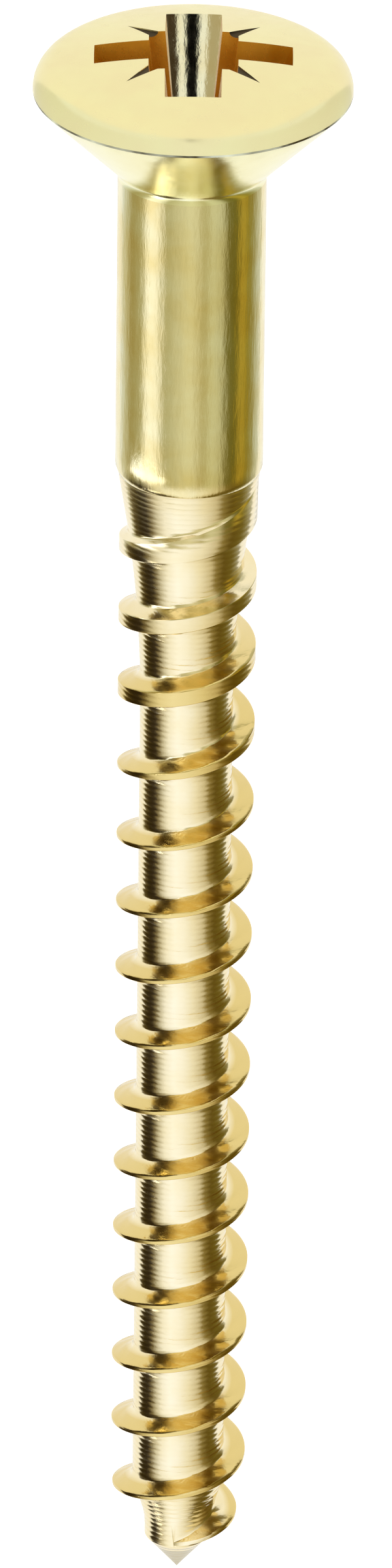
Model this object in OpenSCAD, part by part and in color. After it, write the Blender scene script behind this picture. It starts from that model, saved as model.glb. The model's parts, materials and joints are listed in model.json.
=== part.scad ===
// Oval head wood screw with a cross recess, turned in one piece from brass rod.
// The screw is drawn upright, with the plane of its rim at zero and its point below,
// and is then laid down to rest on its rim and on its last full ridge of thread.

/* [Head] */
// Diameter over the rim
head_d = 7.5; // [7:0.05:8.4]
// Height of the crown over the rim
crown_h = 1.03; // [0.9:0.01:1.3]
// Radius that turns the crown down to the rim
crown_edge_r = 0.7; // [0.4:0.05:0.85]
// Height of the straight band round the rim
rim_h = 0.06; // [0.04:0.01:0.2]
// Included angle of the countersink
sink_angle = 90; // [80:1:100]
// Radius of the fillet between countersink and shank
neck_r = 0.4; // [0.2:0.05:0.8]

/* [Drive recess] */
// Distance over the tips of two opposite wings, at the crown
wing_span = 4.64; // [4:0.02:5.2]
// Width of a wing
wing_w = 1.05; // [0.8:0.01:1.3]
// Lean of the wing tips towards the axis
wing_lean = 26.5; // [20:0.5:30]
// Width of the square socket between the wings, at the crown
socket_w = 2.1; // [1.7:0.02:2.5]
// Lean of the socket's walls towards the axis
socket_lean = 6; // [3:0.5:9]
// Depth of the flat floor below the top of the crown
recess_depth = 2.1; // [1.6:0.05:2.5]
// Depth of the conical pit below the flat floor
pit_depth = 0.35; // [0.2:0.05:0.6]
// Distance over the outer ends of two opposite ticks
tick_span = 4.4; // [3.8:0.05:4.8]
// Width of a tick where it leaves the socket
tick_w = 0.32; // [0.2:0.01:0.45]

/* [Shank] */
// Length from the rim to the point
screw_l = 40; // [34:0.5:50]
// Diameter of the plain shank
shank_d = 3.5; // [3.35:0.01:3.9]
// Length from the rim to the end of the plain shank
shank_l = 9.85; // [7:0.05:13]
// Drop of the small chamfer at the end of the plain shank
shank_drop = 0.05; // [0.02:0.01:0.08]
// Length of that chamfer
shank_drop_l = 0.15; // [0.1:0.05:0.3]

/* [Thread] */
// Distance between neighbouring ridges
pitch = 1.79; // [1.6:0.01:2.2]
// Diameter over the ridges
crest_d = 3.28; // [3:0.01:3.34]
// Diameter of the core
core_d = 2.22; // [1.9:0.01:2.5]
// Width of a ridge's crest
crest_land = 0.1; // [0.06:0.01:0.2]
// Width of the flat crest on the first few ridges
lead_land = 0.38; // [0.25:0.01:0.5]
// Width of the crest where the thread leaves the shank
start_land = 1.05; // [0.7:0.01:1.2]
// Turns that keep the flat crest
lead_turns = 2.6; // [1:0.1:4]
// Lean of a ridge's flanks from square to the axis
flank_lean = 20; // [12:1:28]
// Width of the fillet at the foot of a flank
foot_w = 0.1; // [0.05:0.01:0.15]
// Distance from the end of the plain shank to the first ridge
start_gap = 1.2; // [1.1:0.05:1.6]
// Length that the first five turns take up beyond their pitch
lead_gain = 0.55; // [0:0.05:0.6]
// Length over which the shank tapers down to the core
runout_l = 6.2; // [4:0.1:9]
// Flat facets round one turn
facets = 32; // [24:8:40]

/* [Point] */
// Diameter of the pilot behind the point
pilot_d = 1.6; // [1.3:0.02:1.9]
// Length of the pilot
pilot_l = 0.3; // [0.2:0.05:0.8]
// Length over which the core narrows to the pilot
neck_l = 1.5; // [0.8:0.1:2.5]
// Included angle of the point
point_angle = 78; // [60:1:95]
// Distance from the last ridge to the point
end_gap = 0.1; // [0.1:0.05:0.4]
// Turns over which the crest narrows behind the point
narrow_turns = 0.9; // [0.5:0.05:1.5]
// Diameter that the crest narrows to
end_crest_d = 2.78; // [2.4:0.02:3]
// Turns over which the ridge fades at its end
fade_turns = 0.3; // [0.15:0.05:0.5]

/* [Hidden] */
brass = [0.86, 0.78, 0.52];
head_r = head_d / 2;
shank_r = shank_d / 2;
crest_r = crest_d / 2;
core_r = core_d / 2;
pilot_r = pilot_d / 2;
cut_clear = 0.2;
bury = 0.4;
blank_fn = 64;
arc_rows = 8;
neck_rows = 4;

// Crown: a wide arc over the middle, tangent to a small one that is upright at the rim.
edge_c = head_r - crown_edge_r;
crown_r = (crown_h ^ 2 + edge_c ^ 2 - crown_edge_r ^ 2) / (2 * (crown_h - crown_edge_r));
crown_turn = asin(edge_c / (crown_r - crown_edge_r));
function crown_z(r) = crown_h - crown_r + sqrt(crown_r ^ 2 - r ^ 2);

// Countersink: it meets the shank in a fillet that is tangent to both.
sink_half = sink_angle / 2;
sink_h = (head_r - shank_r) / tan(sink_half);
neck_c = [shank_r + neck_r, -rim_h - sink_h - neck_r * tan(45 - sink_half / 2)];

// Point and pilot, measured from the rim.
point_s = screw_l - pilot_r / tan(point_angle / 2);
pilot_s = point_s - pilot_l;
core_end_s = pilot_s - neck_l;

// Threaded end: radius of the bare core at a distance s from the rim.
shank_gap = 0.01;
runout_top = shank_r - shank_drop - shank_gap;
function smooth(u) = u * u * (3 - 2 * u);
function clamp(v, low, high) = min(max(v, low), high);
function runout_r(s) =
    core_r + (runout_top - core_r) * (1 - clamp((s - shank_l) / runout_l, 0, 1)) ^ 2;
function floor_r(s) =
    runout_r(s) + (pilot_r - core_r) * smooth(clamp((s - core_end_s) / neck_l, 0, 1));

// Ridge: n counts turns from the side of the screw, and grows towards the point.
lead_in = 3 / 8 + 0.5 / facets;
gain_turns = 5;
start_turns = 0.5;
fade_curve = 1.5;
thread_s = shank_l + start_gap;
min_step = 0.02;
root_rows = 3;
rows = 6 + root_rows;
start_s = shank_l + 4 * min_step;
end_s = point_s - min_step;
end_turns = (point_s - end_gap - thread_s - lead_gain) / pitch;
steps = round((lead_in + end_turns) * facets);
last_n = steps / facets - lead_in;
foot_share = 0.16;
function turn_of(i) = i / facets - lead_in;
function land(n) =
    crest_land
    + (lead_land - crest_land) * (1 - smooth(clamp(n - lead_turns, 0, 1)))
    + (start_land - lead_land) * (1 - clamp(n / start_turns, 0, 1)) ^ fade_curve;
function fade_in(n) = smooth(clamp((n + lead_in) / lead_in, 0, 1));
function fade_out(n) = 1 - clamp((n - last_n + fade_turns) / fade_turns, 0, 1) ^ fade_curve;
function full_r(n) =
    crest_r - (crest_d - end_crest_d) / 2 * clamp((n - last_n + narrow_turns) / narrow_turns, 0, 1);
function ridge_h(n, s) = max(full_r(n) - floor_r(s), 0) * fade_in(n) * fade_out(n);
function low_edge(n) =
    thread_s + crest_land / 2 + pitch * n + lead_gain * smooth(clamp(n / gain_turns, 0, 1));
function top_r(n) = let (s = low_edge(n)) floor_r(s) + ridge_h(n, s);

// One cut through the ridge and the root below it: distances from the rim, and shares of the height.
function section(n) =
    let (
        low = low_edge(n),
        high = low - land(n),
        run = (1 - foot_share) * ridge_h(n, low) * tan(flank_lean),
        top = high - run - foot_w,
        bottom = low + run + foot_w,
        next_top = low_edge(n + 1) - land(n + 1) - run - foot_w,
        gap = next_top - bottom
    )
    [
        [top, 0],
        [high - run, foot_share],
        [high, 1],
        [low, 1],
        [low + run, foot_share],
        [bottom, 0],
        each [for (k = [1:root_rows]) [bottom + gap * k / (root_rows + 1), 0]]
    ];

function on_axis(s, r, turn) = [r * cos(-360 * turn), r * sin(-360 * turn), -s];
function in_order(s, row) = clamp(s, start_s + min_step * (row + 1), end_s - min_step * (rows - row));
function strip_point(n, row, cut) =
    let (s = in_order(cut[row][0], row), bare = floor_r(s))
    on_axis(s, bare + cut[row][1] * max(top_r(n) - bare, 0), n);
function ring(s) = [for (c = [0:facets - 1]) on_axis(s, floor_r(s), turn_of(c))];

// Two triangles between a point, its neighbour round the screw, and the two below them.
function side(a, b, c, d) = [[a, d, c], [a, c, b]];

module threaded_end() {
    // The skin is one strip wound round the axis, whose lower edge is the next turn's upper edge.
    strip = [for (i = [0:steps]) let (n = turn_of(i), cut = section(n))
        each [for (row = [0:rows - 1]) strip_point(n, row, cut)]];
    top_i = (steps + 1) * rows;
    start_i = top_i + facets;
    end_i = start_i + facets;
    apex_i = end_i + facets;
    v = function (i, row) i * rows + row;
    top = function (i) top_i + i % facets;
    start = function (i) start_i + i % facets;
    end = function (i) end_i + i % facets;
    foot = rows - 1;
    before = facets - 1;
    after = steps + 1 - facets;
    first_column = [start(0), each [for (row = [0:foot]) v(0, row)], v(facets, 0)];
    last_column = [v(steps - facets, foot), each [for (row = [0:foot]) v(steps, row)], end(steps)];
    faces = [
        [for (c = [0:facets - 1]) top(c)],
        each [for (c = [0:facets - 1]) each side(top(c), top(c + 1), start(c + 1), start(c))],
        each [for (c = [0:before - 1]) each side(start(c), start(c + 1), v(c + 1, 0), v(c, 0))],
        [start(before), v(before, 0), start(0)],
        each [for (k = [0:len(first_column) - 2]) [v(before, 0), first_column[k + 1], first_column[k]]],
        each [for (i = [0:steps - 1], row = [0:foot - 1])
            each side(v(i, row), v(i + 1, row), v(i + 1, row + 1), v(i, row + 1))],
        each [for (i = [0:steps - facets - 1])
            each side(v(i, foot), v(i + 1, foot), v(i + 1 + facets, 0), v(i + facets, 0))],
        each [for (k = [0:len(last_column) - 2]) [last_column[k], last_column[k + 1], v(after, foot)]],
        [end(steps), end(steps + 1), v(after, foot)],
        each [for (i = [after:steps - 1]) each side(v(i, foot), v(i + 1, foot), end(i + 1), end(i))],
        each [for (c = [0:facets - 1]) [end(c), apex_i, end(c + 1)]]
    ];
    buried = ring(shank_l - bury);
    polyhedron(concat(strip, buried, ring(start_s), ring(point_s), [[0, 0, -screw_l]]), faces);
}

// Outline of head and shank, from the top of the crown down to the end of the plain shank.
module turned_blank() {
    crown = [for (k = [1:arc_rows]) let (r = crown_r * sin(crown_turn * k / arc_rows)) [r, crown_z(r)]];
    edge = [for (k = [1:arc_rows]) let (a = crown_turn + (90 - crown_turn) * k / arc_rows)
        [edge_c + crown_edge_r * sin(a), crown_edge_r * cos(a)]];
    neck = [for (k = [0:neck_rows]) let (a = sink_half * (1 - k / neck_rows))
        neck_c - neck_r * [cos(a), -sin(a)]];
    shank_end = [[shank_r, shank_drop_l - shank_l], [shank_r - shank_drop, -shank_l], [0, -shank_l]];
    outline = [[0, crown_h], each crown, each edge, [head_r, -rim_h], each neck, each shank_end];
    rotate_extrude($fn = blank_fn)
        polygon(outline);
}

// Trapezoid that narrows downwards, drawn in the plane of one pair of wings.
module leaning_block(half_w, at_z, lean, floor_z, thickness) {
    top_z = crown_h + cut_clear;
    top_w = half_w + (top_z - at_z) * tan(lean);
    floor_w = half_w - (at_z - floor_z) * tan(lean);
    rotate([90, 0, 0])
        linear_extrude(thickness, center = true)
            polygon([[-top_w, top_z], [top_w, top_z], [floor_w, floor_z], [-floor_w, floor_z]]);
}

module drive_recess() {
    floor_z = crown_h - recess_depth;
    wing_z = crown_z(wing_span / 2);
    socket_z = crown_z(socket_w / 2);
    pit_r = wing_w / 2;
    for (a = [0, 90])
        rotate([0, 0, a])
            leaning_block(wing_span / 2, wing_z, wing_lean, floor_z, wing_w);
    intersection_for(a = [0, 90])
        rotate([0, 0, a])
            leaning_block(socket_w / 2, socket_z, socket_lean, floor_z, 2 * socket_w);
    translate([0, 0, floor_z - pit_depth])
        cylinder(h = pit_depth + cut_clear, r1 = 0, r2 = pit_r * (1 + cut_clear / pit_depth), $fn = 48);
    for (a = [45:90:315])
        rotate([0, 0, a])
            tick();
}

// Shallow notch that starts at a corner of the socket and runs out to a point.
module tick() {
    inner = socket_w / 2 * sqrt(2) - cut_clear;
    outer = tick_span / 2;
    fall = atan2(crown_z(inner) - crown_z(outer), outer - inner);
    translate([inner, 0, crown_z(inner)])
        rotate([0, 90 + fall, 0])
            cylinder(h = outer - inner, r1 = tick_w / 2, r2 = 0, $fn = 24);
}

module screw() {
    color(brass)
        lay_down()
            union() {
                difference() {
                    turned_blank();
                    drive_recess();
                }
                threaded_end();
            }
}

// At rest the rim and the last high ridges touch the surface, so the axis leans by a few degrees.
underside = 3 / 4;
function depth(n) = top_r(n) * cos(360 * (n - underside));
function under_tilt(n) = atan((head_r - depth(n)) / (low_edge(n) - rim_h));
rest_tilt = min([for (i = [facets:steps]) under_tilt(turn_of(i))]);
rest_lift = head_r * cos(rest_tilt) + rim_h * sin(rest_tilt);
crown_top = crown_z(norm([wing_w, socket_w]) / 2) * cos(rest_tilt) + socket_w / 2 * sin(rest_tilt);
rest_mid = (crown_top - screw_l * cos(rest_tilt)) / 2;

module lay_down() {
    translate([0, -rest_mid, rest_lift])
        rotate([rest_tilt - 90, 0, 0])
            children();
}

screw();
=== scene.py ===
import json
import bpy
import numpy as np
from mathutils import Matrix, Vector

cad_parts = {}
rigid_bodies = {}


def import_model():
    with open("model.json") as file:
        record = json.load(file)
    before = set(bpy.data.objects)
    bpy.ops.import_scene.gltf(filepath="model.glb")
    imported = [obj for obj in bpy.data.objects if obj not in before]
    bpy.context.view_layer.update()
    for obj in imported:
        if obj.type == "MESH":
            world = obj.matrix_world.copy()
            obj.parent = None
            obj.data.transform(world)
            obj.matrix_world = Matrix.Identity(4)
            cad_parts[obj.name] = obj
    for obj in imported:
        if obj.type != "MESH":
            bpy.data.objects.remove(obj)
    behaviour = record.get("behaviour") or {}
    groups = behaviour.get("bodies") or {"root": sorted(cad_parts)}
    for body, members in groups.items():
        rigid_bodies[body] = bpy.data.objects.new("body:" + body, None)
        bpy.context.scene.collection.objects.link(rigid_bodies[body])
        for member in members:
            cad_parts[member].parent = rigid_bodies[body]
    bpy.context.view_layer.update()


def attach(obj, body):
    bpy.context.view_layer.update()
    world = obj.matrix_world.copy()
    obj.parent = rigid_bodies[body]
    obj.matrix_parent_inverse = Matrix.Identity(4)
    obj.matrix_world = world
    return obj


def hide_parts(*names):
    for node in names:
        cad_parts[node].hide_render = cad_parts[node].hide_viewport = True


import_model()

# Where the screw lies and where it is seen from
# The screw lies on its rim and its last ridge. The camera stands above it, over to the head's
# side, and looks down, so that the crown shows and the head is at the top of the picture.
MM = 0.001                                      # a millimetre in metres
LEAN = np.radians(3.34549)                      # the axis against the floor, at rest
RIM = np.array([0.0, 19.4442, 3.74711])         # middle of the rim, in mm
TO_HEAD = np.array([0.0, np.cos(LEAN), np.sin(LEAN)])
TO_VIEW = np.array([0.0, -np.sin(LEAN), np.cos(LEAN)])
TO_RIGHT = np.array([1.0, 0.0, 0.0])


def lay(p):
    """From upright to lying: x stays, z runs along the leaning axis from the rim to the crown,
    and minus y turns up towards the camera. Millimetres in, metres out."""
    p = np.asarray(p, float)
    placed = RIM + p[..., :1] * TO_RIGHT - p[..., 1:2] * TO_VIEW + p[..., 2:3] * TO_HEAD
    return placed * MM


LOOK, ROLL = np.radians(27.5), np.radians(0.645)  # sight line from square to the axis, and roll
DISTANCE, AIM = 345.44, 18.31                   # to the screw, and from the rim to the aim, in mm
back = np.cos(LOOK) * TO_VIEW + np.sin(LOOK) * TO_HEAD
up = np.cos(LOOK) * TO_HEAD - np.sin(LOOK) * TO_VIEW
frame_right = TO_RIGHT * np.cos(ROLL) + up * np.sin(ROLL)
frame_up = up * np.cos(ROLL) - TO_RIGHT * np.sin(ROLL)
place = (RIM - AIM * TO_HEAD + DISTANCE * back) * MM
camera_data = bpy.data.cameras.new("camera")
camera_data.sensor_fit = "VERTICAL"
camera_data.sensor_height = 36
camera_data.lens = 331.5
camera_data.shift_x = 16.3 / 2400
camera_data.clip_start, camera_data.clip_end = 0.01, 10
camera = bpy.data.objects.new("camera", camera_data)
camera.matrix_world = Matrix([*np.column_stack([frame_right, frame_up, back, place]).tolist(), [0, 0, 0, 1]])
bpy.context.collection.objects.link(camera)
bpy.context.scene.camera = camera

# The screw
# One piece of brass rod: the head and shank are turned, the recess is pressed, and the thread
# is cut with a die. One closed skin is made from crown to point, and the recess is cut out of
# it. Sizes are in mm, and s is the distance from the rim, growing towards the point.
COLUMNS = 96                                    # facets round one turn
LEAD_IN = 25 / 64                               # turns before the first full ridge
FOOT = 0.16                                     # share of a ridge's height that its fillet takes

head_r, crown_h, crown_edge_r, rim_h = 3.75, 1.03, 0.7, 0.06
shank_r, shank_l, neck_r, shank_drop = 1.75, 9.85, 0.4, 0.05
core_r, crest_r, end_crest_r, pilot_r = 1.11, 1.64, 1.39, 0.8
pitch, gain, gain_turns, screw_l = 1.79, 0.55, 5, 40.0
runout_l, pilot_back, pilot_l = 6.2, 1.8, 1.5   # shank to core, and core to pilot before the point
sharp_w, flat_w, flat_turns = 0.1, 0.28, 2.6    # width of the crest, and what its first turns add
start_w, start_turns = 0.67, 0.5                # what the start of the thread adds to that
drop_turns, fade_turns = 0.9, 0.3               # the last ridge gets lower, and then fades
flank, fillet = np.tan(np.radians(20)), 0.1     # slope of a ridge's side, and reach of its fillet
edge_c = head_r - crown_edge_r
neck_s = rim_h + head_r - shank_r + neck_r * np.tan(np.pi / 8)
crown_r = (crown_h ** 2 + edge_c ** 2 - crown_edge_r ** 2) / (2 * (crown_h - crown_edge_r))
point_s = screw_l - pilot_r / np.tan(np.radians(39))
thread_s = shank_l + 1.25
steps = 501 * COLUMNS // 32
last_n = steps / COLUMNS - LEAD_IN


def smooth(u):
    """An S curve from 0 to 1: u squared times three minus twice u, held at both ends."""
    u = np.clip(u, 0, 1)
    return u * u * (3 - 2 * u)


def floor_r(s):
    """Radius of the bare rod at a distance s from the rim: the shank narrows to the core along
    a parabola, and the core to the pilot along an S curve."""
    left = 1 - np.clip((s - shank_l) / runout_l, 0, 1)
    runout = core_r + (shank_r - shank_drop - core_r) * left ** 2
    return runout + (pilot_r - core_r) * smooth((s - point_s + pilot_back) / pilot_l)


def land(n):
    """Width of the crest at turn n: a wide start, then a flat crest, then a sharp one."""
    flat = sharp_w + flat_w * (1 - smooth(n - flat_turns))
    return flat + start_w * (1 - np.clip(n / start_turns, 0, 1)) ** 1.5


def low_edge(n):
    """Lower edge of the crest at turn n: the pitch for each turn, and a little more at first."""
    return thread_s + pitch * n + gain * smooth(n / gain_turns)


def ridge_h(n):
    """Height of the ridge over the rod at turn n: up to the crest, faded at both ends."""
    full = crest_r - (crest_r - end_crest_r) * np.clip((n - last_n + drop_turns) / drop_turns, 0, 1)
    rise = smooth((n + LEAD_IN) / LEAD_IN)
    fall = 1 - np.clip((n - last_n + fade_turns) / fade_turns, 0, 1) ** 1.5
    return np.maximum(full - floor_r(low_edge(n)), 0) * rise * fall


def ring(s, r):
    """A circle of columns round the axis, each at its own distance and radius, right-handed."""
    turn = -2 * np.pi * (np.arange(COLUMNS) / COLUMNS - LEAD_IN)
    s, r = np.broadcast_to(s, turn.shape), np.broadcast_to(r, turn.shape)
    return np.stack([r * np.cos(turn), r * np.sin(turn), -s], -1)


def head_rings():
    """Rings from the crown to the shank's end. Their profile, as distance and radius, is the
    crown's wide arc, the small arc of its edge, the rim, a cone at 45 degrees, a fillet, and
    the straight shank with a small step down at its end."""
    crown_turn = np.arcsin(edge_c / (crown_r - crown_edge_r))
    a = crown_turn * np.linspace(0, 1, 25)[1:]
    crown = np.stack([crown_r - crown_h - crown_r * np.cos(a), crown_r * np.sin(a)], -1)
    b = crown_turn + (np.pi / 2 - crown_turn) * np.linspace(0, 1, 15)[1:]
    edge = np.stack([-crown_edge_r * np.cos(b), edge_c + crown_edge_r * np.sin(b)], -1)
    rim = [[rim_h * 0.8, head_r], [rim_h, head_r - 0.01]]
    c = np.linspace(np.pi / 4, 0, 9)
    neck = np.stack([neck_s - neck_r * np.sin(c), shank_r + neck_r - neck_r * np.cos(c)], -1)
    cone = np.linspace([rim_h, head_r], neck[0], 6)[1:-1]
    shaft = np.linspace(neck[-1], [shank_l - 0.15, shank_r], 20)[1:]
    end = [[shank_l, shank_r - shank_drop], [shank_l + 0.01, shank_r - shank_drop - 0.012]]
    profile = np.concatenate([crown, edge, rim, cone, neck, shaft, end])
    return np.stack([ring(s, r) for s, r in profile])


def thread_rows():
    """The cut through one ridge and the root below it, at each step along the helix. Shares of
    the ridge's height run from the upper foot over the crest to the lower foot. A side leans
    out by the flank's slope times the height that is left, and by the fillet, a parabola. The
    rows keep a small distance from each other and from the ends, so that none cross."""
    rising = np.array([0, 0.02, 0.06, 0.11, 0.16, 0.5, 0.85, 0.97, 1])
    share = np.concatenate([rising, rising[::-1]])
    side = np.repeat([-1, 1], len(rising))
    n = np.arange(steps + 1)[:, None] / COLUMNS - LEAD_IN
    h, low = ridge_h(n), low_edge(n)
    lean = h * flank * (1 - np.maximum(share, FOOT))
    out = lean + fillet * np.maximum(1 - share / FOOT, 0) ** 2
    rounding = np.minimum(0.012, land(n) / 4) * (share > 0.98)
    s = np.where(side < 0, low - land(n), low) + side * (out - rounding)
    below = low_edge(n + 1) - land(n + 1) - (1 - FOOT) * h * flank - fillet
    root = s[:, -1:] + (below - s[:, -1:]) * np.linspace(0, 1, 6)[1:-1]
    s = np.concatenate([s, root], 1)
    share = np.concatenate([share, np.zeros(root.shape[1])])
    order = np.arange(len(share))
    s = np.clip(s, shank_l + 0.03 + 0.004 * order, point_s - 0.004 * (len(share) - order))
    bare = floor_r(s)
    r = bare + share * np.maximum(floor_r(low) + h - bare, 0)
    turn = -2 * np.pi * n
    return np.stack([r * np.cos(turn), r * np.sin(turn), -s], -1)


def screw_skin():
    """The points and faces of the screw: rings of columns for head and shank, then rows that
    are carried along the helix, whose last row is the first row one turn further, then a ring
    and the point. Faces are indices into the points, with columns against the clock as seen
    from the head."""
    rings, strip = head_rings(), thread_rows()
    points = np.concatenate([[[0, 0, crown_h]], rings.reshape(-1, 3), strip.reshape(-1, 3),
                             ring(point_s, pilot_r), [[0, 0, -screw_l]]])
    rows = strip.shape[1]
    foot = rows - 1
    first = 1 + len(rings) * COLUMNS
    shank_end = first - COLUMNS
    end = first + (steps + 1) * rows
    quads, tris = [], []
    at = lambda row, column: 1 + row * COLUMNS + column
    v = lambda i, k: first + i * rows + k
    # The middle of the crown, and the rings down to the shank's end.
    col = np.arange(COLUMNS)
    nxt = (col + 1) % COLUMNS
    tris.append(np.stack([np.zeros_like(col), nxt + 1, col + 1], -1))
    row = np.arange(len(rings) - 1)[:, None]
    quads.append(np.stack([at(row, col), at(row, nxt), at(row + 1, nxt), at(row + 1, col)], -1))
    # From the shank's end to the first turn, and the seam where the helix starts.
    c = np.arange(COLUMNS - 1)
    quads.append(np.stack([shank_end + c, shank_end + c + 1, v(c + 1, 0), v(c, 0)], -1))
    seam = np.concatenate([[shank_end], v(0, np.arange(rows)), [v(COLUMNS, 0)]])
    tris.append(np.array([[shank_end + COLUMNS - 1, shank_end, v(COLUMNS - 1, 0)]]))
    tris.append(np.stack([np.full(len(seam) - 1, v(COLUMNS - 1, 0)), seam[:-1], seam[1:]], -1))
    # Ridge and root, and the join from each root to the ridge one turn further.
    i, k = np.arange(steps)[:, None], np.arange(foot)
    quads.append(np.stack([v(i, k), v(i + 1, k), v(i + 1, k + 1), v(i, k + 1)], -1))
    i = np.arange(steps - COLUMNS)
    quads.append(np.stack([v(i, foot), v(i + 1, foot), v(i + 1 + COLUMNS, 0), v(i + COLUMNS, 0)], -1))
    # From the last turn to the ring at the point, the seam there, and the point.
    after = steps + 1 - COLUMNS
    i = np.arange(after, steps)
    quads.append(np.stack([v(i, foot), v(i + 1, foot), end + (i + 1) % COLUMNS, end + i % COLUMNS], -1))
    seam = np.concatenate([[v(after - 1, foot)], v(steps, np.arange(rows)), [end + steps % COLUMNS]])
    tris.append(np.stack([seam[1:], seam[:-1], np.full(len(seam) - 1, v(after, foot))], -1))
    tris.append(np.array([[end + (steps + 1) % COLUMNS, end + steps % COLUMNS, v(after, foot)]]))
    tris.append(np.stack([end + nxt, np.full(COLUMNS, end + COLUMNS), end + col], -1))
    return points, np.concatenate([q.reshape(-1, 4) for q in quads]), np.concatenate(tris)


def mesh_piece(name, points, *faces):
    """A mesh object from lying points and arrays of faces."""
    mesh = bpy.data.meshes.new(name)
    mesh.from_pydata(points.tolist(), [], sum((f.tolist() for f in faces), []))
    mesh.validate()
    piece = bpy.data.objects.new(name, mesh)
    bpy.context.collection.objects.link(piece)
    return piece


points, quads, tris = screw_skin()
screw = mesh_piece("wood_screw", lay(points), quads, tris)

# The punch that presses the recess: two crossed wings with leaning ends, a square block whose
# four sides lean, a short cone at its end, and four small ticks between the wings.
wing_span, wing_w, wing_lean = 4.64, 1.05, np.radians(26.5)
level_top, level_foot = wing_w * 0.5, wing_w * 0.42         # half widths of the level wing
upright_top, upright_foot = wing_w * 0.66, wing_w * 0.44    # and of the upright one
socket_w, socket_lean, recess_depth, pit_depth = 2.1, np.radians(6), 2.1, 0.35
tick_near, tick_far, tick_r = socket_w / 2 * np.sqrt(2) - 0.2, 2.2, 0.16
over, step = 0.2, 0.012                         # punch over the crown, and floors a step apart


def crown_z(r):
    """Height of the crown's wide arc over the rim, at a distance r from the axis."""
    return crown_h - crown_r + np.sqrt(crown_r ** 2 - r ** 2)


def block(top, bottom, high, deep):
    """A block with sloping sides: the corners of a rectangle at each of two heights."""
    corner = np.array([[-1, -1], [1, -1], [1, 1], [-1, 1]])
    ends = [np.column_stack([corner * half, np.full(4, z)]) for half, z in ((bottom, deep), (top, high))]
    faces = [[3, 2, 1, 0], [4, 5, 6, 7], [0, 1, 5, 4], [1, 2, 6, 5], [2, 3, 7, 6], [3, 0, 4, 7]]
    return np.concatenate(ends), np.array(faces)


def spike(base, tip, radius, sides):
    """A cone from a round base to a tip: the base circle is square to the line between them."""
    base, tip = np.array(base, float), np.array(tip, float)
    along = (tip - base) / np.linalg.norm(tip - base)
    across = np.cross(along, [0.3, 0.7, 0.2])
    across /= np.linalg.norm(across)
    turn = 2 * np.pi * np.arange(sides)[:, None] / sides
    circle = base + radius * (np.cos(turn) * across + np.sin(turn) * np.cross(along, across))
    points = np.concatenate([circle, [base, tip]])
    i = np.arange(sides)
    j = (i + 1) % sides
    side = np.stack([i, j, np.full(sides, sides + 1)], -1)
    bottom = np.stack([j, i, np.full(sides, sides)], -1)
    return points, np.concatenate([side, bottom])


high, deep = crown_h + over, crown_h - recess_depth
wing_top = wing_span / 2 + (high - crown_z(wing_span / 2)) * np.tan(wing_lean)
wing_foot = wing_span / 2 - (crown_z(wing_span / 2) - deep) * np.tan(wing_lean)
socket_top = socket_w / 2 + (high - crown_z(socket_w / 2)) * np.tan(socket_lean)
socket_foot = socket_w / 2 - (crown_z(socket_w / 2) - deep) * np.tan(socket_lean)
pit_r = wing_w / 2 * (1 + over / pit_depth)
punches = [
    block([wing_top, level_top], [wing_foot, level_foot], high, deep - step),
    block([upright_top, wing_top], [upright_foot, wing_foot], high, deep - 2 * step),
    block([socket_top, socket_top], [socket_foot, socket_foot], high, deep),
    spike([0, 0, deep + over], [0, 0, deep - pit_depth], pit_r, 48),
]
for quarter in range(4):
    turn = np.pi / 4 + quarter * np.pi / 2
    way = np.array([np.cos(turn), np.sin(turn)])
    base, tip = [*(way * tick_near), crown_z(tick_near)], [*(way * tick_far), crown_z(tick_far)]
    punches.append(spike(base, tip, tick_r, 24))
punch = bpy.data.collections.new("punch")
for number, (p, f) in enumerate(punches):
    part = mesh_piece(f"punch_{number}", lay(p), f)
    bpy.context.collection.objects.unlink(part)
    punch.objects.link(part)
cut = screw.modifiers.new("recess", "BOOLEAN")
cut.operation, cut.solver, cut.use_self = "DIFFERENCE", "EXACT", True
cut.operand_type, cut.collection = "COLLECTION", punch
pressed = bpy.data.meshes.new_from_object(screw.evaluated_get(bpy.context.evaluated_depsgraph_get()))
screw.modifiers.clear()
screw.data = pressed
pressed.name = "wood_screw"
for part in list(punch.objects):
    bpy.data.objects.remove(part)
bpy.data.collections.remove(punch)
pressed.polygons.foreach_set("use_smooth", np.ones(len(pressed.polygons), bool))
pressed.set_sharp_from_angle(angle=np.radians(32))


def node(tree, kind, inputs=None, **settings):
    """A shader node with its settings, and its inputs set or linked by name or number."""
    made = tree.nodes.new(kind)
    for name, value in settings.items():
        setattr(made, name, value)
    for name, value in (inputs or {}).items():
        if isinstance(value, bpy.types.NodeSocket):
            tree.links.new(value, made.inputs[name])
        else:
            made.inputs[name].default_value = value
    return made


def group(name, inputs, outputs):
    """An empty node group with named inputs and outputs."""
    tree = bpy.data.node_groups.new(name, "ShaderNodeTree")
    for label, kind, value in inputs:
        socket = tree.interface.new_socket(label, in_out="INPUT", socket_type=kind)
        if value is not None:
            socket.default_value = value
    for label, kind in outputs:
        tree.interface.new_socket(label, in_out="OUTPUT", socket_type=kind)
    return tree, tree.nodes.new("NodeGroupInput").outputs, tree.nodes.new("NodeGroupOutput").inputs


def math(tree, operation, *values):
    """The result of a sum on one or two values."""
    return node(tree, "ShaderNodeMath", dict(enumerate(values)), operation=operation).outputs[0]


def between(tree, value, low, high, at_low=0.0, at_high=1.0, **settings):
    """A value carried in proportion from one range to another, and held at both ends."""
    inputs = {"Value": value, "From Min": low, "From Max": high, "To Min": at_low, "To Max": at_high}
    return node(tree, "ShaderNodeMapRange", inputs, **settings).outputs[0]


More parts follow.
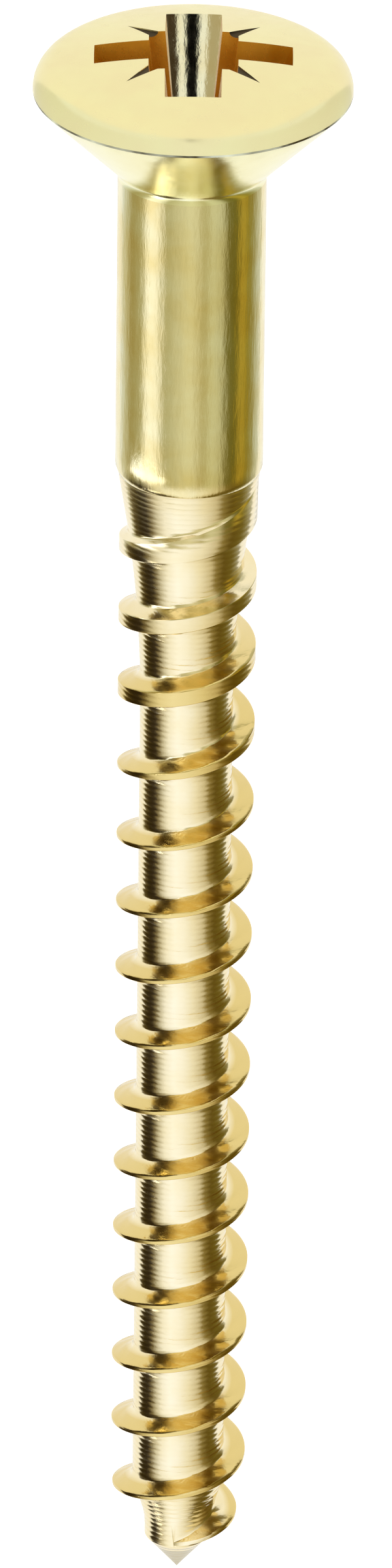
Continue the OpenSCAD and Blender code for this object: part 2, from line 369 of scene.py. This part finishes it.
def blend(tree, factor, first, second):
    """The first colour where the factor is 0, the second where it is 1, and mixed between."""
    inputs = {"Factor": factor, "A": first, "B": second}
    return node(tree, "ShaderNodeMix", inputs, data_type="RGBA").outputs["Result"]


def ramp(tree, value, stops):
    """Colours along a value from 0 to 1, from stops given as position and colour, in order."""
    made = node(tree, "ShaderNodeValToRGB", {0: value})
    made.color_ramp.elements.remove(made.color_ramp.elements[1])
    made.color_ramp.elements[0].position = stops[0][0]
    made.color_ramp.elements[0].color = (*stops[0][1], 1)
    for position, colour in stops[1:]:
        made.color_ramp.elements.new(position).color = (*colour, 1)
    return made.outputs[0]


# Place on the screw, in millimetres: along the axis from the rim, and out from the axis.
upright, _, give = group("upright", [], [
    ("Place", "NodeSocketVector"), ("Along", "NodeSocketFloat"), ("Out", "NodeSocketFloat")])
turned = node(upright, "ShaderNodeMapping", {
    "Vector": node(upright, "ShaderNodeTexCoord").outputs["Object"], "Location": (RIM * MM).tolist(),
    "Rotation": (LEAN - np.pi / 2, 0, 0), "Scale": (MM, MM, MM)}, vector_type="TEXTURE").outputs[0]
axes = node(upright, "ShaderNodeSeparateXYZ", {0: turned}).outputs
flat = node(upright, "ShaderNodeCombineXYZ", {0: axes[0], 1: axes[1]}).outputs[0]
away = node(upright, "ShaderNodeVectorMath", {0: flat}, operation="LENGTH").outputs["Value"]
upright.links.new(turned, give["Place"])
upright.links.new(math(upright, "MULTIPLY", axes[2], -1.0), give["Along"])
upright.links.new(away, give["Out"])

# Tool marks: fine lines round the axis, some deep and most shallow, broken here and there, and
# the even lines of a cutter, mixed in by a share.
marks, ask, give = group("tool_marks", [
    ("Place", "NodeSocketVector", None), ("Lines", "NodeSocketFloat", 12.0),
    ("Wander", "NodeSocketFloat", 0.4), ("Cutter", "NodeSocketFloat", 0.0)], [
    ("Height", "NodeSocketFloat"), ("Wear and Shade Patches", "NodeSocketFloat")])
axes = node(marks, "ShaderNodeSeparateXYZ", {0: ask["Place"]}).outputs
drawn_out = node(marks, "ShaderNodeCombineXYZ", {
    0: math(marks, "MULTIPLY", axes[0], ask["Wander"]), 1: math(marks, "MULTIPLY", axes[1], ask["Wander"]),
    2: math(marks, "MULTIPLY", axes[2], ask["Lines"])}).outputs[0]
fine = node(marks, "ShaderNodeTexNoise", {
    "Vector": drawn_out, "Scale": 1.0, "Detail": 4.0, "Roughness": 0.6}).outputs[0]
patch = node(marks, "ShaderNodeTexNoise", {"Vector": ask["Place"], "Scale": 0.9, "Detail": 3.0}).outputs[0]
even = node(marks, "ShaderNodeTexWave", {
    "Vector": ask["Place"], "Scale": math(marks, "MULTIPLY", ask["Lines"], 0.314), "Distortion": 1.2,
    "Detail": 3.0, "Detail Scale": 2.0}, wave_type="BANDS", bands_direction="Z").outputs[1]
both = node(marks, "ShaderNodeMix", {"Factor": ask["Cutter"], "A": fine, "B": even}, data_type="FLOAT")
marks.links.new(both.outputs["Result"], give["Height"])
marks.links.new(patch, give["Wear and Shade Patches"])


def brass(name, pale, deep_tint, rough, lines, wander, bump, spread=0.6, cutter=0.0, metal=1.0, ridge=None):
    """Brass with tool marks: the colour drifts between a pale and a deep tint, the marks lift
    the surface a little and roughen it unevenly. A ridge tint, where given, is a painted
    reflection: a deeper gold, as of brass reflected in brass, that takes over as the surface rises
    from the thread's root, past the run-out. The run-out has shallower marks."""
    material = bpy.data.materials.new(name)
    material.use_nodes = True
    tree = material.node_tree
    shader = tree.nodes["Principled BSDF"]
    where = node(tree, "ShaderNodeGroup", node_tree=upright).outputs
    made = node(tree, "ShaderNodeGroup", node_tree=marks)
    tree.links.new(where["Place"], made.inputs["Place"])
    for label, value in (("Lines", lines), ("Wander", wander), ("Cutter", cutter)):
        made.inputs[label].default_value = value
    height = made.outputs["Height"]
    drift = between(tree, made.outputs["Wear and Shade Patches"], 0.35, 0.65)
    tint = blend(tree, math(tree, "MULTIPLY", drift, spread), (*pale, 1), (*deep_tint, 1))
    grain = between(tree, height, 0.3, 0.7, rough * 0.8, rough * 1.3)
    # The ridge tint is a painted reflection: a deeper gold as of brass reflected in brass.
    if ridge:
        calm = between(tree, where["Along"], 12.0, 13.5, at_low=0.45)
        height = math(tree, "MULTIPLY", height, calm)
        ridge_painted_gold_share = between(tree, where["Out"], 1.14, 1.30)
        past_runout = between(tree, where["Along"], 12.5, 15.0)
        tint = blend(tree, math(tree, "MULTIPLY", ridge_painted_gold_share, past_runout), tint, (*ridge, 1))
    lift = node(tree, "ShaderNodeBump", {"Height": height, "Strength": bump, "Distance": 0.00002})
    tree.links.new(tint, shader.inputs["Base Color"])
    tree.links.new(grain, shader.inputs["Roughness"])
    tree.links.new(lift.outputs[0], shader.inputs["Normal"])
    shader.inputs["Metallic"].default_value = metal
    return material


# The finishes, in the order of their numbers.
POLISHED, DRAWN, CUT, PRESSED_PAINTED_REFLECTION, STRUCK, TICK_PAINTED_SHADE, CONE_PAINTED_SHEEN, RIM_LINE_PAINTED_SHADE = range(8)
finishes = [
    brass("brass_polished", (0.92, 0.83, 0.42), (0.90, 0.77, 0.40),
          rough=0.22, lines=3.0, wander=3.0, bump=0.10),
    brass("brass_drawn", (0.94, 0.87, 0.56), (0.88, 0.74, 0.36),
          rough=0.14, lines=1.6, wander=8.0, bump=0.40, spread=1.0),
    # The thread: its ridge tint is a painted reflection, a deeper gold where the surface rises.
    brass("brass_cut", (0.95, 0.84, 0.56), (0.92, 0.77, 0.42),
          rough=0.15, lines=7.0, wander=0.5, bump=0.65, cutter=0.4, ridge=(0.80, 0.62, 0.24)),
    # The recess: an orange painted reflection, half metal, standing in for brass reflected in brass.
    brass("brass_pressed_painted_reflection", (0.72, 0.36, 0.03), (0.56, 0.24, 0.01),
          rough=0.25, lines=2.0, wander=4.0, bump=0.15, spread=1.0, metal=0.45),
    brass("brass_struck", (0.93, 0.84, 0.52), (0.90, 0.72, 0.34),
          rough=0.02, lines=0.6, wander=9.0, bump=0.010),
    # The ticks: near black, painted shade in their grooves.
    brass("brass_tick_painted_shade", (0.05, 0.035, 0.015), (0.12, 0.08, 0.03),
          rough=0.35, lines=2.0, wander=4.0, bump=0.1, metal=0.7),
    # The cone and fillet under the head: a paler brass, a painted sheen.
    brass("brass_cone_painted_sheen", (0.98, 0.94, 0.58), (0.95, 0.88, 0.48),
          rough=0.16, lines=3.0, wander=3.0, bump=0.08),
    # The line on the rim: pale brass with near-black patches of painted shade.
    brass("brass_rim_painted_shade", (0.90, 0.88, 0.62), (0.06, 0.04, 0.01),
          rough=0.14, lines=4.0, wander=4.0, bump=0.3, spread=1.0),
]
for material in finishes:
    pressed.materials.append(material)

# Which finish a face has: by its place along the axis, and in the recess by its distance from
# the crown's own surface and from the cone's. The recess's faces take an orange painted reflection,
# the leaning ends of the wings are struck smooth, and the ticks, whose faces are square to neither
# wing, take a near-black painted shade.
RECESS_R, SKIN, WALL = 2.9, 0.012, 0.3          # reach of the recess, and clear of crown and cone
LEAN_FROM, LEAN_TO = 0.38, 0.52                 # share of a leaning end that faces the head
centres = np.empty(len(pressed.polygons) * 3)
pressed.polygons.foreach_get("center", centres)
centres = centres.reshape(-1, 3) / MM - RIM
along, side_x, side_y = centres @ TO_HEAD, centres[:, 0], -centres @ TO_VIEW
out = np.hypot(side_x, side_y)
facing = np.empty(len(pressed.polygons) * 3)
pressed.polygons.foreach_get("normal", facing)
facing = facing.reshape(-1, 3)
uphill = np.abs(facing @ TO_HEAD)
squarely = np.maximum(np.abs(facing[:, 0]), np.abs(facing @ TO_VIEW))
between_wings = np.minimum(np.abs(side_x), np.abs(side_y)) > 0.7
finish = np.select([along > 0.02, along > -rim_h - 0.02, along > -neck_s, along > -shank_l],
                   [POLISHED, RIM_LINE_PAINTED_SHADE, CONE_PAINTED_SHEEN, DRAWN], CUT)
under_crown = along < crown_z(np.minimum(out, RECESS_R)) - SKIN
inside = (out < RECESS_R) & under_crown & (along > deep - pit_depth - 0.1) & (out < head_r + along - WALL)
finish[inside] = PRESSED_PAINTED_REFLECTION
finish[inside & (uphill > LEAN_FROM) & (uphill < LEAN_TO)] = STRUCK
finish[inside & between_wings & (squarely < 0.9) & (uphill < 0.999)] = TICK_PAINTED_SHADE
pressed.polygons.foreach_set("material_index", finish.astype(np.int32))
pressed.polygons.foreach_set("use_smooth", ~np.isin(finish, [PRESSED_PAINTED_REFLECTION, STRUCK]))
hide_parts("screw")
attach(screw, "root")

# The studio
# A white floor under the screw, and a glowing backdrop that only shows in the metal: a long tent
# painted with reflections, whose strips, from left to right, give the brass its painted bright and
# dark lines. Over the head it widens into a pale hood, with a dark band painted across it as the
# camera's reflection.
WHITE = (1, 1, 1, 1)
GLOW, DAYLIGHT = 0.6, 0.85                      # the floor's extra to the camera; the world's light unseen


def bare_tree(owner):
    """The node tree of a material or a world, emptied."""
    owner.use_nodes = True
    owner.node_tree.nodes.clear()
    return owner.node_tree


def from_metal(tree, rays):
    """1 for a ray that leaves metal or glass, and 0 for any other."""
    return math(tree, "MAXIMUM", rays["Is Glossy Ray"], rays["Is Transmission Ray"])


floor_mesh = bpy.data.meshes.new("floor")
floor_mesh.from_pydata([(-1, -1, 0), (1, -1, 0), (1, 1, 0), (-1, 1, 0)], [], [(0, 1, 2, 3)])
floor = bpy.data.objects.new("floor", floor_mesh)
bpy.context.collection.objects.link(floor)
paper = bpy.data.materials.new("floor_paper")
tree = bare_tree(paper)
rays = node(tree, "ShaderNodeLightPath").outputs
to_camera = math(tree, "MULTIPLY", rays["Is Camera Ray"], GLOW)
lit = node(tree, "ShaderNodeBsdfDiffuse", {"Color": (0.9, 0.9, 0.9, 1)}).outputs[0]
glow = node(tree, "ShaderNodeEmission", {"Color": WHITE, "Strength": to_camera}).outputs[0]
plain = node(tree, "ShaderNodeAddShader", {0: lit, 1: glow}).outputs[0]
mirrored = node(tree, "ShaderNodeEmission", {"Color": WHITE, "Strength": 1.0}).outputs[0]
either = node(tree, "ShaderNodeMixShader", {0: from_metal(tree, rays), 1: plain, 2: mirrored}).outputs[0]
tree.links.new(either, node(tree, "ShaderNodeOutputMaterial").inputs["Surface"])
floor_mesh.materials.append(paper)

TENT_R, TENT_HALF, TENT_FLARE = 6.0, 122.0, 0.8  # mm, degrees to each side, widening of the hood
HOOD_TOP, HOOD_FOOT, TENT_END = 16, -2, -51     # heights over the rim, along the screw
ACROSS = 97
heights = np.concatenate([np.linspace(HOOD_TOP, HOOD_FOOT, 10), np.linspace(HOOD_FOOT, TENT_END, 13)[1:]])
u, z = np.meshgrid(np.linspace(-1, 1, ACROSS), heights)
angle = np.radians(TENT_HALF) * u
tent_r = TENT_R + TENT_FLARE * np.maximum(z - HOOD_FOOT, 0)
tent_points = np.stack([tent_r * np.sin(angle), -tent_r * np.cos(angle), z], -1)
i, j = np.meshgrid(np.arange(ACROSS - 1), np.arange(len(heights) - 1))
corner = (j * ACROSS + i).ravel()
tent_faces = np.stack([corner, corner + 1, corner + ACROSS + 1, corner + ACROSS], -1)
tent = mesh_piece("tent", lay(tent_points.reshape(-1, 3)), tent_faces)
band = tent.data.attributes.new("strip", "FLOAT2", "POINT")
band.data.foreach_set("vector", np.stack([(u.ravel() + 1) / 2, z.ravel()], -1).ravel())
strips = bpy.data.materials.new("tent_painted_reflections")
tree = bare_tree(strips)
where = node(tree, "ShaderNodeAttribute", attribute_name="strip").outputs["Vector"]
share, height = node(tree, "ShaderNodeSeparateXYZ", {0: where}).outputs[:2]


def across(degrees):
    """Share of the way across the tent, from its left foot to its right, at an angle."""
    return (degrees / TENT_HALF + 1) / 2


def painted_reflection_strips(tree, value, strips):
    """Painted reflections across the tent: colours given by angle in degrees."""
    return ramp(tree, value, [(across(degrees), colour) for degrees, colour in strips])


# Painted reflections over the shank and over the thread: bright and dark strips by angle.
over_shank = painted_reflection_strips(tree, share, [
    (-120, (0.75, 0.80, 0.85)), (-108, (0.62, 0.62, 0.50)), (-92, (0.36, 0.31, 0.13)),
    (-72, (0.44, 0.42, 0.25)), (-60, (1.15, 1.15, 1.15)), (-46, (1.05, 1.04, 1.0)),
    (-34, (0.46, 0.44, 0.27)), (-16, (0.62, 0.60, 0.42)), (0, (0.74, 0.72, 0.52)),
    (10, (0.62, 0.59, 0.40)), (18, (0.48, 0.44, 0.24)), (30, (0.64, 0.64, 0.45)),
    (42, (0.54, 0.53, 0.36)), (52, (0.18, 0.16, 0.04)), (64, (0.15, 0.13, 0.02)),
    (76, (0.46, 0.34, 0.05)), (88, (0.27, 0.22, 0.03)), (100, (0.34, 0.32, 0.15)),
    (112, (0.60, 0.62, 0.55))])
over_thread = painted_reflection_strips(tree, share, [
    (-121, (0.75, 0.78, 0.8)), (-114, (0.5, 0.46, 0.3)), (-108, (0.10, 0.07, 0.02)),
    (-92, (0.03, 0.02, 0.005)), (-74, (0.03, 0.02, 0.01)), (-64, (0.20, 0.16, 0.08)),
    (-54, (0.60, 0.58, 0.50)), (-40, (0.98, 1.0, 1.05)), (-20, (1.10, 1.16, 1.35)),
    (0, (1.04, 1.08, 1.20)), (24, (0.90, 0.88, 0.80)), (46, (0.62, 0.56, 0.40)),
    (56, (0.26, 0.20, 0.06)), (74, (0.12, 0.08, 0.01)), (96, (0.16, 0.12, 0.02)),
    (108, (0.28, 0.25, 0.12)), (118, (0.36, 0.35, 0.28))])
turnover = between(tree, height, -13.8, -12.4, interpolation_type="SMOOTHSTEP")
body = blend(tree, turnover, over_thread, over_shank)

# A small oval in the tent that glows brighter than white, over the lower end of the shank: a painted
# highlight there.
OVAL_ANGLE, OVAL_Z, OVAL_HALF_ANGLE, OVAL_HALF_Z = -62.0, -12.0, 32.0, 0.75
beside = math(tree, "SUBTRACT", share, across(OVAL_ANGLE))
beside = math(tree, "DIVIDE", beside, OVAL_HALF_ANGLE / TENT_HALF / 2)
below_it = math(tree, "DIVIDE", math(tree, "SUBTRACT", height, OVAL_Z), OVAL_HALF_Z)
offset = node(tree, "ShaderNodeCombineXYZ", {0: beside, 1: below_it}).outputs[0]
reach = node(tree, "ShaderNodeVectorMath", {0: offset}, operation="LENGTH").outputs["Value"]
body = blend(tree, between(tree, reach, 0.7, 1.1, 1.0, 0.0), body, (1.8, 1.9, 2.2, 1))

# The hood over the head, and a band across it painted as the camera's reflection: dark in the
# middle, with a dark edge at the left and a dull one at the right.
CAMERA_BAND_X, CAMERA_BAND_Z, CAMERA_BAND_HALF, CAMERA_BAND_EDGE = 0.75, 9.4, 4.9, 0.15
hood = painted_reflection_strips(tree, share, [
    (-120, (0.78, 0.80, 0.78)), (-60, (0.86, 0.90, 0.92)), (0, (0.92, 0.98, 1.08)),
    (60, (0.86, 0.90, 0.92)), (120, (0.78, 0.80, 0.78))])
camera_band_r = TENT_R + TENT_FLARE * (CAMERA_BAND_Z - HOOD_FOOT)
camera_band_turn = float(np.degrees(np.arcsin(CAMERA_BAND_X / camera_band_r)) / TENT_HALF / 2)
from_left = between(tree, share, 0.5 - camera_band_turn, 0.5 + camera_band_turn)
# The hood's pale tone, and the camera's grip, lens and sleeve, painted into the band as their reflection.
pale, grip, lens, sleeve = (0.92, 0.98, 1.08), (0.05, 0.035, 0.02), (0.002, 0.002, 0.002), (0.46, 0.42, 0.30)
painted_camera_band = ramp(tree, from_left, [((x / CAMERA_BAND_X + 1) / 2, colour) for x, colour in (
    (-0.74, pale), (-0.68, grip), (-0.42, grip), (-0.37, pale), (-0.22, pale), (-0.18, lens),
    (0.12, lens), (0.16, pale), (0.32, pale), (0.38, sleeve), (0.64, sleeve), (0.74, pale))])
off_camera_band = math(tree, "ABSOLUTE", math(tree, "SUBTRACT", height, CAMERA_BAND_Z))
in_camera_band = between(tree, off_camera_band, CAMERA_BAND_HALF - CAMERA_BAND_EDGE, CAMERA_BAND_HALF, 1.0, 0.0)
over_head = between(tree, height, HOOD_FOOT - 0.2, HOOD_FOOT + 0.2)
whole_tent = blend(tree, over_head, body, blend(tree, in_camera_band, hood, painted_camera_band))
shine = node(tree, "ShaderNodeEmission", {"Color": whole_tent, "Strength": 1.0}).outputs[0]
tree.links.new(shine, node(tree, "ShaderNodeOutputMaterial").inputs["Surface"])
tent.data.materials.append(strips)
tent.visible_camera = tent.visible_diffuse = tent.visible_shadow = tent.visible_transmission = False

world = bpy.data.worlds.new("studio")
bpy.context.scene.world = world
tree = bare_tree(world)
rays = node(tree, "ShaderNodeLightPath").outputs
seen = math(tree, "MAXIMUM", rays["Is Camera Ray"], from_metal(tree, rays))
sky = node(tree, "ShaderNodeBackground", {"Color": WHITE, "Strength": between(tree, seen, 0, 1, DAYLIGHT)})
tree.links.new(sky.outputs[0], node(tree, "ShaderNodeOutputWorld").inputs["Surface"])


def lamp(name, toward, distance, size, energy, in_floor):
    """A square soft lamp that looks at the screw, from a direction given as right, up and
    along the screw. It lights plain surfaces or it shows in the metal, never both."""
    data = bpy.data.lights.new(name, "AREA")
    data.shape, data.size, data.energy = "SQUARE", size, energy
    made = bpy.data.objects.new(name, data)
    bpy.context.collection.objects.link(made)
    way = toward[0] * TO_RIGHT + toward[1] * TO_VIEW + toward[2] * TO_HEAD
    made.location = Vector(way / np.linalg.norm(way) * distance)
    made.rotation_euler = (-made.location).to_track_quat("-Z", "Y").to_euler()
    made.visible_camera = False
    made.visible_diffuse, made.visible_glossy = in_floor, not in_floor


lamp("softbox", (-0.5, 0.85, 0.1), distance=0.30, size=0.14, energy=0.30, in_floor=True)
lamp("spark_low", (-0.56, 0.10, -0.82), distance=0.30, size=0.05, energy=0.16, in_floor=False)

bpy.context.scene.view_settings.view_transform = "Standard"
